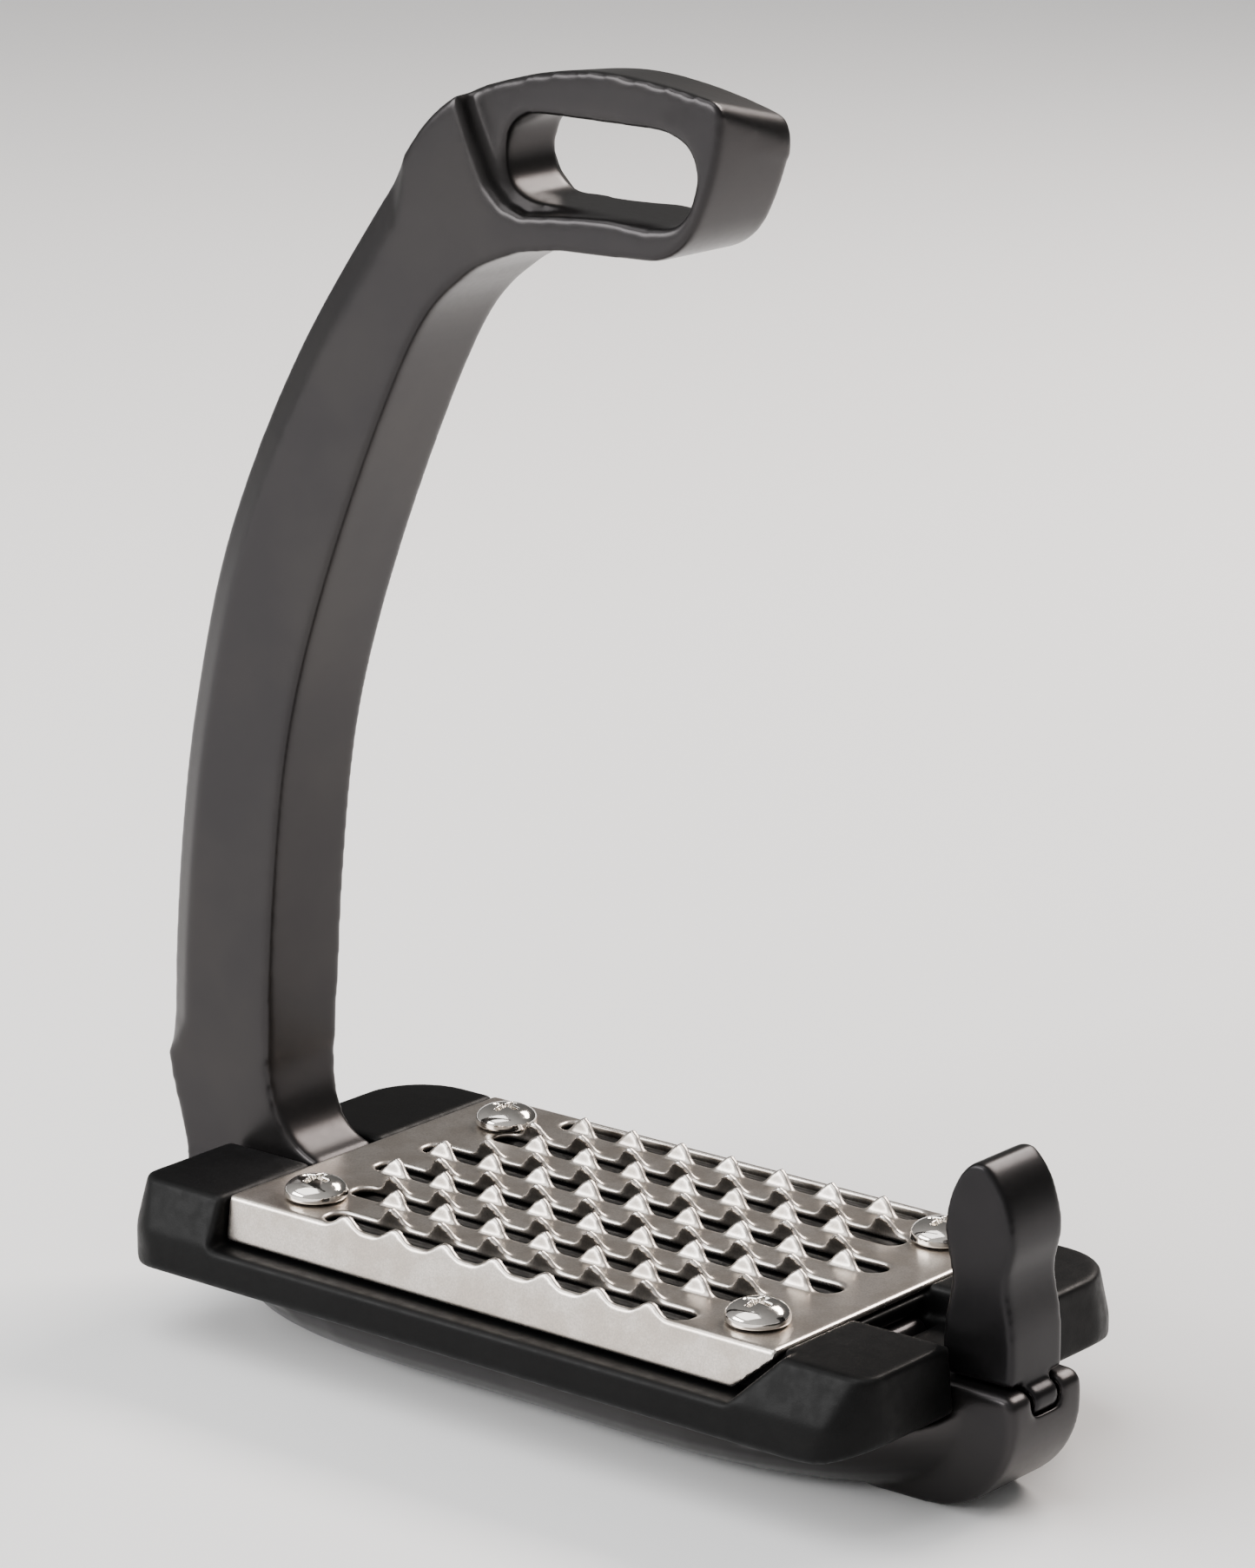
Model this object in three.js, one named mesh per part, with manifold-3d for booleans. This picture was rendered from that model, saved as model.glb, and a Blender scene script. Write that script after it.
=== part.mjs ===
// Open-sided safety stirrup iron: an aluminium frame with one curved arm, a rubber tread pad under a
// toothed steel tread plate, and a short peg at the open side that tips outwards against a spring.
// Units are millimetres. +Z is up, +X points to the open side, -Y is the front (broad face of the arm).
import * as THREE from 'three';
import { mergeVertices } from 'three/addons/utils/BufferGeometryUtils.js';
import Module from 'manifold-3d';

const wasm = await Module();
wasm.setup();

// Driving dimensions. X is measured from the middle of the tread plate, Z from the flat underside.
const GAP = 0.3;                 // clearance between neighbouring pieces
const WELD = 0.004;              // detail smaller than this is merged after a cut or join
const FAR = 90;                  // cutting bodies run out to here, past every side of the part
const TREAD_LOW = 5;             // heights below and above the whole tread
const TREAD_HIGH = 30;

const PLATE_LENGTH = 103.4;
const PLATE_WIDTH = 61.4;
const PLATE_TOP = 25;
const SHEET = 1.2;
const FLANGE_DROP = 7;
const FLANGE_LEAN = 0.9;
const FLANGE_SLANT = 7;          // the right-hand end of each flange is cut back at 45 degrees

const SLOT_ROWS = 6;
const ROW_PITCH = 10.9;
const STRIP_WIDTH = 6.4;
const SLOT_LENGTHS = [88, 78, 69];   // middle, next and outer rows
const TOOTH_PITCH = 9.6;
const TOOTH_WIDTH = 6.6;
const TOOTH_HEIGHT = 2.7;
const TOOTH_LEAN = 0.8;
const FLANGE_TOOTH_HEIGHT = 1.7;

const PAD_LEFT = -71.4;
const PAD_RIGHT = 70.2;
const PAD_FRONT = -35.7;
const PAD_BACK = 34.3;
const PAD_BOTTOM = 11.5;
const PAD_LEDGE = 17.4;
const PAD_SLOPE = { left: 2.6, right: 1, front: 3.6, back: 3.9 };  // how far each side leans in at the top
const PAD_CORNER = { low: 9, high: 3 };
const PAD_BACK_CORNER = { low: 14.5, high: 10.5 };
const PAD_WEB_TOP = PLATE_TOP - SHEET - GAP;
const PAD_RISE = 3.7;            // the underside curves up towards the open end
const PAD_RISE_START = 57;

const BAND_Y = -4.3;             // the frame's centre plane lies in front of the tread's
const FRAME_TOP = 196.8;
const BAR_END = 79.8;            // outer end of the base bar
const BAR_HALF = 7.3;
const END_HALF = 8.6;            // the bar's outer end is a little wider, as a seat for the peg
const END_START = 54.8;
const BRIDGE_START = 52;         // the pad's two ends are joined by a low bridge across the bar
const BRIDGE_FLOOR = 17.2;
const BRIDGE_HEIGHT = 3;
const PEG_SEAT = 62.7;           // from here outwards the pad leaves the bar free for the peg
const BAR_TOP = 20.6;
const SHOULDER_TOP = 19;
const END_RADIUS = 15;
const EDGE_RADIUS = 2.3;
const HULL_TOP = PAD_BOTTOM - GAP;
const HULL_NARROWING = 0.66;     // share of the hull's width that is lost from its top to its keel
const HULL_SHORTENING = 0.12;
const HULL_SIDES = 72;
const HULL_LEVELS = 7;
const PLATFORM_TOP = 16.6;
const PLATFORM_HALF = [54, 28.4];
const PLATFORM_CORNER = 6;

const SCREW_X = { left: -41, right: 42.8 };
const SCREW_Y = { front: -23, back: 20.8 };
const SCREW_RADIUS = 2.4;
const HEAD_RADIUS = 4.8;
const HEAD_HEIGHT = 3;
const CROSS_REACH = 2.1;
const CROSS_HALF = 0.5;
const CROSS_FLOOR = 1.4;
const INSERT_RADIUS = 3.6;       // threaded insert pressed into the platform under each screw
const INSERT_LENGTH = 5;
const INSERT_TOP = PLATFORM_TOP - 0.4;
const SCREW_END = 10.6;

const PEG_WIDTH = 12;
const PEG_THICK = 12.4;
const PEG_TOP = 51.3;
const PEG_OUTER = 77.7;
const HINGE_X = BAR_END - EDGE_RADIUS;
const HINGE_Z = SHOULDER_TOP - EDGE_RADIUS;
const KNUCKLE_RADIUS = 2.2;
const KNUCKLE_HALF = 3;
const PIN_RADIUS = 1.1;
const PIN_GAP = 0.25;
const PIN_FRONT = BAND_Y - 5.7;
const TAIL_X = -3.2;             // tip of the peg's tail, from the hinge
const TAIL_Z = -7.2;
const TAIL_RADIUS = 1.2;
const TAIL_ROOT = 1.5;

const BORE_Z = 11.9;             // the plunger's bore runs lengthwise in the base bar
const BORE_RADIUS = 3.5;
const BORE_START = 40;
const ACCESS_START = 33;         // a well under the plate where the spring screw goes in
const ACCESS_END = 41.2;
const ACCESS_HALF = 4;
const ACCESS_FLOOR = 8;
const PLUNGER_LENGTH = 11;
const TAIL_CLEARANCE = 0.65;     // the tail turns in a circle, so it runs a little ahead of the plunger
const PLUNGER_FACE = HINGE_X + TAIL_X - TAIL_RADIUS - TAIL_CLEARANCE;
const CUP_DEPTH = 8;
const CUP_RADIUS = 2.6;
const SPRING_RADIUS = 1.9;       // to the middle of the wire
const WIRE_RADIUS = 0.35;
const SPRING_TURNS = 11;
const SCREW_PLUG_LENGTH = 5.5;
const SPRING_SEAT = 47;          // face of the spring screw
const KEY_RADIUS = 1.7;          // its hexagonal socket
const KEY_DEPTH = 3;

// ---- helpers ---------------------------------------------------------------------------------

function solid(geometry) {
  const bare = geometry.index ? geometry.toNonIndexed() : geometry.clone();
  bare.deleteAttribute('normal');
  bare.deleteAttribute('uv');
  const merged = mergeVertices(bare, 1e-4);
  return new wasm.Manifold(new wasm.Mesh({
    numProp: 3,
    vertProperties: new Float32Array(merged.attributes.position.array),
    triVerts: new Uint32Array(merged.index.array),
  }));
}

function geometryOf(manifold) {
  const mesh = manifold.simplify(WELD).getMesh();
  const geometry = new THREE.BufferGeometry();
  geometry.setAttribute('position', new THREE.BufferAttribute(mesh.vertProperties, 3));
  geometry.setIndex(new THREE.BufferAttribute(mesh.triVerts, 1));
  const flat = geometry.toNonIndexed();
  flat.computeVertexNormals();
  return flat;
}

function joinAll(solids) {
  return solids.reduce((whole, piece) => whole.add(piece));
}

function cutAll(body, cutters) {
  return cutters.reduce((rest, cutter) => rest.subtract(cutter), body);
}

function shapeOf(points) {
  return new THREE.Shape(points.map(([x, y]) => new THREE.Vector2(x, y)));
}

// A shape drawn in X and Z, given a thickness along Y from `front` to `back`.
function alongY(shape, front, back, curveSegments = 10) {
  const geometry = new THREE.ExtrudeGeometry(shape, {
    depth: back - front, bevelEnabled: false, curveSegments,
  });
  return geometry.rotateX(Math.PI / 2).translate(0, back, 0);
}

// A shape drawn in Y and Z, run along X.
function alongX(shape, left, right, curveSegments = 10) {
  const geometry = new THREE.ExtrudeGeometry(shape, {
    depth: right - left, bevelEnabled: false, curveSegments,
  });
  return geometry.rotateX(Math.PI / 2).rotateZ(Math.PI / 2).translate(left, 0, 0);
}

// A shape drawn in X and Y, run upwards.
function alongZ(shape, bottom, top, curveSegments = 10) {
  const geometry = new THREE.ExtrudeGeometry(shape, {
    depth: top - bottom, bevelEnabled: false, curveSegments,
  });
  return geometry.translate(0, 0, bottom);
}

function box(x0, x1, y0, y1, z0, z1) {
  const geometry = new THREE.BoxGeometry(x1 - x0, y1 - y0, z1 - z0);
  return geometry.translate((x0 + x1) / 2, (y0 + y1) / 2, (z0 + z1) / 2);
}

function rodAlongX(radius, left, right, y, z, segments = 24) {
  const geometry = new THREE.CylinderGeometry(radius, radius, right - left, segments);
  return geometry.rotateZ(Math.PI / 2).translate((left + right) / 2, y, z);
}

function rodAlongY(radius, front, back, x, z, segments = 24) {
  const geometry = new THREE.CylinderGeometry(radius, radius, back - front, segments);
  return geometry.translate(x, (front + back) / 2, z);
}

function rodAlongZ(radius, bottom, top, x, y, segments = 24) {
  const geometry = new THREE.CylinderGeometry(radius, radius, top - bottom, segments);
  return geometry.rotateX(Math.PI / 2).translate(x, y, (bottom + top) / 2);
}

function roundedRectangle(halfX, halfY, radius) {
  const shape = new THREE.Shape();
  shape.moveTo(halfX, -halfY + radius);
  shape.lineTo(halfX, halfY - radius);
  shape.absarc(halfX - radius, halfY - radius, radius, 0, Math.PI / 2);
  shape.lineTo(-halfX + radius, halfY);
  shape.absarc(-halfX + radius, halfY - radius, radius, Math.PI / 2, Math.PI);
  shape.lineTo(-halfX, -halfY + radius);
  shape.absarc(-halfX + radius, -halfY + radius, radius, Math.PI, 1.5 * Math.PI);
  shape.lineTo(halfX - radius, -halfY);
  shape.absarc(halfX - radius, -halfY + radius, radius, 1.5 * Math.PI, 2 * Math.PI);
  return shape;
}

// A closed skin over a row of rings with equal point counts; each end is closed by a fan.
function loft(rings) {
  const count = rings[0].length;
  const positions = [];
  const push = (...points) => points.forEach((p) => positions.push(p.x, p.y, p.z));
  const middle = (ring) => ring
    .reduce((sum, p) => sum.add(p), new THREE.Vector3())
    .divideScalar(count);
  for (let r = 0; r + 1 < rings.length; r += 1) {
    for (let i = 0; i < count; i += 1) {
      const j = (i + 1) % count;
      push(rings[r][i], rings[r][j], rings[r + 1][j]);
      push(rings[r][i], rings[r + 1][j], rings[r + 1][i]);
    }
  }
  const first = rings[0];
  const last = rings[rings.length - 1];
  for (let i = 0; i < count; i += 1) {
    const j = (i + 1) % count;
    push(middle(first), first[j], first[i]);
    push(middle(last), last[i], last[j]);
  }
  const geometry = new THREE.BufferGeometry();
  geometry.setAttribute('position', new THREE.Float32BufferAttribute(positions, 3));
  return geometry;
}

// Height of the pad's underside, level up to PAD_RISE_START and then curving up to the open end.
function padUnderside(x) {
  const run = Math.max(0, x - PAD_RISE_START) / (PAD_RIGHT - PAD_RISE_START);
  return PAD_BOTTOM + PAD_RISE * Math.min(run, 1) ** 2;
}

// Points along the curved stretch of the underside, lowered by `gap`.
function risePoints(gap) {
  const steps = 6;
  return Array.from({ length: steps + 1 }, (_, i) => {
    const x = PAD_RISE_START + (PAD_RIGHT - PAD_RISE_START) * i / steps;
    return [x, padUnderside(x) - gap];
  });
}

// ---- frame -----------------------------------------------------------------------------------

// The arm's outer edge, from the foot up to the head, and its inner edge, from the head down.
const ARM_OUTER = [
  [-81.6, 45], [-79.5, 70], [-75.6, 94], [-67.9, 121.3], [-53.1, 150.8], [-32.1, 179.9],
  [-25, 188.2], [-17.8, 192.8],
];
const ARM_INNER = [
  [-9.6, 169.7], [-19.8, 165], [-30.2, 153.8], [-44.7, 123.1], [-54.6, 94], [-58.8, 66], [-60.6, 38],
];
const ARM_FOOT = [-82, 34];
// Half of the band's thickness against height, for the whole frame.
const BAND = [
  [BAR_HALF, -1], [BAR_HALF, 19.6], [6.5, 22.5], [6.5, 26], [7.9, 38], [8.4, 52], [8.4, 150],
  [8.8, 176], [8.8, 200],
];

const SLOT_TOP = 189.4;
const RECESS_DEPTH = 3.3;
const BEVEL_FOOT = 4.3;
const BEVEL_HEAD = 5.4;
const BEVEL_DEPTH = 1.9;
const BLANK_HALF = 9;            // half thickness of the blank that the band is cut from

function bandHalf(z) {
  const upper = Math.max(1, BAND.findIndex(([, height]) => height >= z));
  const [half0, z0] = BAND[upper - 1];
  const [half1, z1] = BAND[upper];
  return half0 + (half1 - half0) * (z - z0) / (z1 - z0);
}

function vectors(points) {
  return points.map(([x, z]) => new THREE.Vector2(x, z));
}

// The whole C-shaped outline: base bar, bar end, recess, foot, arm and head.
function frameOutline() {
  const shape = new THREE.Shape();
  shape.moveTo(-58, 0);
  shape.lineTo(BAR_END - END_RADIUS, 0);
  shape.absarc(BAR_END - END_RADIUS, END_RADIUS, END_RADIUS, -Math.PI / 2, 0);
  shape.lineTo(BAR_END, HINGE_Z);
  shape.absarc(HINGE_X, HINGE_Z, EDGE_RADIUS, 0, Math.PI / 2);
  shape.lineTo(PEG_SEAT + 1.3, SHOULDER_TOP);
  shape.lineTo(PEG_SEAT + 0.3, BRIDGE_FLOOR);
  shape.lineTo(54.5, BRIDGE_FLOOR);
  shape.lineTo(53, BAR_TOP);
  shape.lineTo(-PLATE_LENGTH / 2 + 1, BAR_TOP);
  shape.lineTo(-PLATE_LENGTH / 2 - GAP, PAD_WEB_TOP);
  shape.lineTo(-PLATE_LENGTH / 2 - GAP, PLATE_TOP - GAP);
  shape.quadraticCurveTo(-60.2, 26, -60.6, 38);
  shape.splineThru(vectors([...ARM_INNER].reverse().slice(1)));
  shape.lineTo(-2, 170.8);
  shape.lineTo(14, 171.1);
  shape.quadraticCurveTo(19.6, 171.4, 22.6, 176.5);
  shape.quadraticCurveTo(26.6, 184, 27.4, 192.6);
  shape.quadraticCurveTo(27.5, 194.2, 25.4, 194.9);
  shape.splineThru(vectors([[16, 196.2], [4, FRAME_TOP], [-7, 195.5], [-17.8, 192.8]]));
  shape.splineThru(vectors([...ARM_OUTER].reverse().slice(1)));
  shape.splineThru(vectors([ARM_FOOT, [-79, 19.8], [-72, 7], [-58, 0]]));
  return shape;
}

function bandSection() {
  const front = BAND.map(([half, z]) => [BAND_Y - half, z]);
  const back = BAND.map(([half, z]) => [BAND_Y + half, z]).reverse();
  return shapeOf([...front, ...back]);
}

// The head's top falls away towards its back edge, more so at the free end, where the corner is round.
function headFall(x) {
  return 1.2 + 0.0024 * (Math.max(x, -12) + 12) ** 2 + 0.25 * Math.max(0, x - 25) ** 2;
}

function lowerBackOfHead(geometry, back) {
  const position = geometry.attributes.position;
  for (let i = 0; i < position.count; i += 1) {
    const [x, y, z] = [position.getX(i), position.getY(i), position.getZ(i)];
    if (y > back - 1 && x > -19 && z > 190) {
      position.setX(i, x - 0.08 * Math.max(0, x - 24) ** 2);
      position.setZ(i, z - headFall(x));
    }
  }
  return geometry;
}

// The shallow bevel along one broad face of the arm's outer edge; side is -1 in front, +1 behind.
function bevelCutter(side) {
  const curve = new THREE.SplineCurve(vectors([ARM_FOOT, ...ARM_OUTER]));
  const start = 0.04;
  const end = 0.77;
  const steps = 44;
  const rings = [];
  for (let i = 0; i <= steps; i += 1) {
    const share = i / steps;
    const point = curve.getPoint(start + (end - start) * share);
    const tangent = curve.getTangent(start + (end - start) * share);
    const inward = new THREE.Vector2(tangent.y, -tangent.x);
    const face = BAND_Y + side * bandHalf(point.y);
    const width = BEVEL_FOOT + (BEVEL_HEAD - BEVEL_FOOT) * share;
    const reach = width * THREE.MathUtils.clamp(Math.min(i / 4, (steps - i) / 3), 0.001, 1);
    const depth = BEVEL_DEPTH * THREE.MathUtils.clamp(Math.min(i / 2, (steps - i) / 1.5), 0.001, 1);
    const corner = (inset, y) => new THREE.Vector3(
      point.x + inward.x * inset, y, point.y + inward.y * inset,
    );
    const ring = [
      corner(reach, face + side * 0.05),
      corner(-1, face - side * depth * (1 + 1 / width)),
      corner(-1, face + side * 1.5),
    ];
    rings.push(side < 0 ? ring : ring.reverse());
  }
  return solid(loft(rings));
}

// The leather slot: its straight way through the head.
function slotShape() {
  const shape = new THREE.Shape();
  shape.moveTo(-8.5, 176.9);
  shape.lineTo(16.5, 176.2);
  shape.quadraticCurveTo(21.6, 176.3, 22.8, 183.4);
  shape.quadraticCurveTo(22.6, 188.9, 15.5, SLOT_TOP);
  shape.lineTo(-7.5, SLOT_TOP);
  shape.quadraticCurveTo(-13.8, 189, -13.8, 183);
  shape.quadraticCurveTo(-13.8, 177.6, -8.5, 176.9);
  return shape;
}

// The recess on one broad face of the head: deep beside the arm, running out at the free end.
function recessCutter(side) {
  const face = BAND_Y + side * (BLANK_HALF + 0.2);
  const ring = (depth, inset) => [
    [-21.2 + inset * 0.5, 200], [-20.6 + inset * 0.5, 190.5], [-15.8 + inset, 178.8 + inset * 0.4],
    [-12.6 + inset, 175.7 + inset * 0.5], [-9.1, 175.2], [-2, 175.9], [7, 176.4], [14, 175.6],
    [19, 176.2], [21.4, 178.2], [23.6, 185], [27.2, 193.8], [29, 200],
  ].map(([x, z]) => {
    const run = THREE.MathUtils.clamp((27.3 - x) / 27, 0, 1);
    return new THREE.Vector3(x, face - side * depth * (depth > 0 ? run : 1), z);
  });
  const outer = ring(-1, 0);
  const inner = ring(RECESS_DEPTH, 1.4);
  const rings = side < 0 ? [inner, outer] : [outer, inner];
  return solid(loft(rings));
}

// The boat-shaped underside that spreads from the bar to carry the tread.
function hull() {
  const plan = [
    [-68, -9], [-58, -22], [-41, -29.2], [0, -30.2], [38, -29.7], [54, -24.5], [65, -16.4], [72, -12.4],
    [76, -11], [77, BAND_Y], [76, 2.4], [72, 3.8], [65, 7.8], [54, 20], [38, 28.6], [0, 29.6],
    [-41, 28.6], [-59, 20], [-69, 3], [-71, BAND_Y],
  ].map(([x, y]) => new THREE.Vector3(x, y, 0));
  const outline = new THREE.CatmullRomCurve3(plan, true).getPoints(HULL_SIDES).slice(0, -1);
  const middle = BAND_Y / 2;
  const rings = [];
  for (let i = 0; i <= HULL_LEVELS; i += 1) {
    const angle = (Math.PI / 2) * (0.04 + 0.96 * i / HULL_LEVELS);
    const spread = 1 - HULL_NARROWING * (1 - Math.sin(angle));
    const shortened = 1 - HULL_SHORTENING * (1 - Math.sin(angle));
    rings.push(outline.map((p) => {
      const height = (padUnderside(p.x) - GAP) * (1 - Math.cos(angle));
      return new THREE.Vector3(p.x * shortened, middle + (p.y - middle) * spread, height);
    }));
  }
  return solid(loft(rings));
}

function screwPlaces() {
  return Object.entries(SCREW_Y).flatMap(([row, y]) => Object.entries(SCREW_X).map(
    ([column, x]) => ({ name: `${row}_${column}`, x, y }),
  ));
}

// The pocket in the bar end that takes the peg's knuckle and tail; it hugs the knuckle at the end face.
function pegPocket() {
  const outline = shapeOf([[68.4, 20], [68.4, 12.5], [71.4, 7.4], [75.8, 7.4], [76.4, 9.2]]);
  outline.absarc(HINGE_X, HINGE_Z, KNUCKLE_RADIUS + GAP, -0.38 * Math.PI, -0.13 * Math.PI);
  outline.lineTo(BAR_END + 1, HINGE_Z - 0.9);
  outline.lineTo(BAR_END + 1, 20);
  return solid(alongY(outline, BAND_Y - KNUCKLE_HALF - GAP, BAND_Y + KNUCKLE_HALF + GAP));
}

function makeFrame() {
  const outline = frameOutline();
  const flatBand = solid(lowerBackOfHead(
    alongY(outline, BAND_Y - BLANK_HALF, BAND_Y + BLANK_HALF, 9), BAND_Y + BLANK_HALF,
  ));
  const band = flatBand.intersect(solid(alongX(bandSection(), -FAR, FAR)));
  const wideBand = solid(alongY(outline, -FAR, FAR, 9));
  const underPad = shapeOf([[-FAR, HULL_TOP], [-FAR, -1], [FAR, -1], [FAR, padUnderside(FAR) - GAP],
    ...risePoints(GAP).reverse()]);
  const base = hull().intersect(wideBand).intersect(solid(alongY(underPad, -FAR, FAR)));
  const end = wideBand.intersect(
    solid(box(END_START, FAR, BAND_Y - END_HALF, BAND_Y + END_HALF, -1, SHOULDER_TOP + 1)),
  );
  const platformPlan = roundedRectangle(...PLATFORM_HALF, PLATFORM_CORNER);
  const platform = solid(alongZ(platformPlan, HULL_TOP - 3, PLATFORM_TOP));
  const body = joinAll([band, base, end, platform]);
  const screwWays = screwPlaces().flatMap(({ x, y }) => [
    solid(rodAlongZ(SCREW_RADIUS + GAP, SCREW_END - 1, PLATE_TOP, x, y)),
    solid(rodAlongZ(INSERT_RADIUS + GAP, INSERT_TOP - INSERT_LENGTH - GAP, PLATE_TOP, x, y)),
  ]);
  return cutAll(body, [
    bevelCutter(-1),
    bevelCutter(1),
    solid(alongY(slotShape(), -FAR, FAR)),
    recessCutter(-1),
    recessCutter(1),
    pegPocket(),
    solid(rodAlongY(PIN_RADIUS + PIN_GAP, PIN_FRONT - GAP, BAND_Y + END_HALF + 1, HINGE_X, HINGE_Z)),
    solid(rodAlongX(BORE_RADIUS, BORE_START, PLUNGER_FACE + GAP, BAND_Y, BORE_Z)),
    solid(box(
      ACCESS_START, ACCESS_END, BAND_Y - ACCESS_HALF, BAND_Y + ACCESS_HALF, ACCESS_FLOOR, TREAD_HIGH,
    )),
    ...screwWays,
  ]);
}

// ---- tread -----------------------------------------------------------------------------------

function padSection() {
  return shapeOf([
    [PAD_BACK - 0.8, PAD_BOTTOM], [PAD_BACK, PAD_BOTTOM + 1.2], [PAD_BACK - 0.3, PAD_LEDGE],
    [PAD_BACK - PAD_SLOPE.back, PLATE_TOP], [PAD_FRONT + PAD_SLOPE.front, PLATE_TOP],
    [PAD_FRONT + 0.3, PAD_LEDGE],
    [PAD_FRONT, PAD_BOTTOM + 1.2], [PAD_FRONT + 0.8, PAD_BOTTOM],
  ]);
}

// The pad's outline seen from above at height z: above the ledge its sides lean in.
function padRing(z) {
  const lean = Math.max(0, z - PAD_LEDGE) / (PLATE_TOP - PAD_LEDGE);
  const radius = ({ low, high }) => low + (high - low) * lean;
  const left = PAD_LEFT + PAD_SLOPE.left * lean;
  const right = PAD_RIGHT - PAD_SLOPE.right * lean;
  const front = PAD_FRONT + PAD_SLOPE.front * lean;
  const back = PAD_BACK - PAD_SLOPE.back * lean;
  const [r, b] = [radius(PAD_CORNER), radius(PAD_BACK_CORNER)];
  const corners = [
    [right - r, front + r, r], [right - b, back - b, b], [left + b, back - b, b], [left + r, front + r, r],
  ];
  const steps = 8;
  return corners.flatMap(([x, y, size], corner) => Array.from({ length: steps + 1 }, (_, i) => {
    const angle = (Math.PI / 2) * (corner - 1 + i / steps);
    return new THREE.Vector3(x + size * Math.cos(angle), y + size * Math.sin(angle), z);
  }));
}

function makePad() {
  const ends = shapeOf([[PAD_LEFT, PAD_BOTTOM - 1], [PAD_RISE_START - 2, PAD_BOTTOM - 1], ...risePoints(0),
    [PAD_RIGHT - PAD_SLOPE.right, PLATE_TOP], [PAD_LEFT + PAD_SLOPE.left, PLATE_TOP],
    [PAD_LEFT, PAD_LEDGE - 2]]);
  const blank = solid(alongX(padSection(), PAD_LEFT, PAD_RIGHT))
    .intersect(solid(alongY(ends, -FAR, FAR)))
    .intersect(solid(loft([padRing(TREAD_LOW), padRing(PAD_LEDGE), padRing(PLATE_TOP + 1)])));
  const bedHalf = PLATE_LENGTH / 2 + GAP;
  const plateBed = solid(box(-bedHalf, bedHalf, -FAR, FAR, PAD_WEB_TOP, TREAD_HIGH));
  const flangeBed = shapeOf([
    [-bedHalf, TREAD_HIGH], [-bedHalf, PAD_LEDGE], [bedHalf - FLANGE_SLANT + 1.7, PAD_LEDGE],
    [bedHalf + 2.3, PLATE_TOP + 0.2], [bedHalf + 2.3, TREAD_HIGH],
  ]);
  const flangeInner = PLATE_WIDTH / 2 - SHEET - GAP;
  const notchHalf = BAR_HALF + 0.4;
  const notch = [BAND_Y - notchHalf, BAND_Y + notchHalf];
  const endNotch = [BAND_Y - END_HALF - GAP, BAND_Y + END_HALF + GAP];
  const [platformX, platformY] = PLATFORM_HALF;
  const platformRoom = alongZ(roundedRectangle(platformX + GAP, platformY + GAP, PLATFORM_CORNER),
    TREAD_LOW, PLATFORM_TOP + GAP);
  return cutAll(blank, [
    plateBed,
    solid(alongY(flangeBed, -FAR, -flangeInner)),
    solid(alongY(flangeBed, flangeInner, FAR)),
    solid(box(-FAR, -PLATE_LENGTH / 2 + 1, ...notch, TREAD_LOW, TREAD_HIGH)),
    solid(box(-FAR, END_START, ...notch, TREAD_LOW, BAR_TOP + GAP)),
    solid(box(PEG_SEAT - GAP, FAR, ...endNotch, TREAD_LOW, TREAD_HIGH)),
    solid(box(BRIDGE_START, FAR, ...endNotch, BRIDGE_FLOOR + BRIDGE_HEIGHT, TREAD_HIGH)),
    solid(box(BRIDGE_START, FAR, ...endNotch, TREAD_LOW, BRIDGE_FLOOR + GAP)),
    solid(platformRoom),
    ...screwPlaces().map(({ x, y }) => solid(
      rodAlongZ(SCREW_RADIUS + 2 * GAP, TREAD_LOW, TREAD_HIGH, x, y),
    )),
  ]);
}

function plateSection() {
  const half = PLATE_WIDTH / 2;
  const foot = half + FLANGE_LEAN;
  const under = PLATE_TOP - SHEET;
  const toe = PLATE_TOP - FLANGE_DROP;
  return shapeOf([
    [-half + 0.4, PLATE_TOP], [-half, PLATE_TOP - 0.4], [-foot, toe], [-foot + SHEET, toe],
    [-half + SHEET, under], [half - SHEET, under], [foot - SHEET, toe], [foot, toe],
    [half, PLATE_TOP - 0.4], [half - 0.4, PLATE_TOP],
  ]);
}

// A tooth is a humped tab bent up from the edge of a slot, leaning over it by `lean` at its crown.
function tooth(x, y, height, thickness, lean) {
  const half = TOOTH_WIDTH / 2;
  const base = PLATE_TOP - SHEET / 3;
  const crown = [-1, -0.8, -0.6, -0.35, 0, 0.35, 0.6, 0.8, 1].map((t) => [
    x + t * half, PLATE_TOP + height * (0.5 + 0.5 * Math.cos(Math.PI * t)),
  ]);
  const outline = shapeOf([[x - half, base], [x + half, base], ...crown.reverse()]);
  const tab = alongY(outline, y - thickness / 2, y + thickness / 2);
  const position = tab.attributes.position;
  for (let i = 0; i < position.count; i += 1) {
    const rise = Math.max(0, position.getZ(i) - PLATE_TOP);
    position.setY(i, position.getY(i) + lean * rise / TOOTH_HEIGHT);
  }
  return solid(tab);
}

function rowLength(row) {
  const fromMiddle = Math.abs(row - (SLOT_ROWS - 1) / 2);
  return SLOT_LENGTHS[Math.round(fromMiddle - 0.5)];
}

// Tooth centres along one edge; the teeth on a strip's two edges are staggered by half a pitch.
function toothPlaces(length, staggered) {
  const reach = length / 2 - TOOTH_WIDTH / 2 - 0.8;
  const first = staggered ? TOOTH_PITCH / 2 : 0;
  const places = staggered ? [] : [0];
  for (let x = staggered ? first : TOOTH_PITCH; x <= reach; x += TOOTH_PITCH) {
    places.push(-x, x);
  }
  return places;
}

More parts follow.
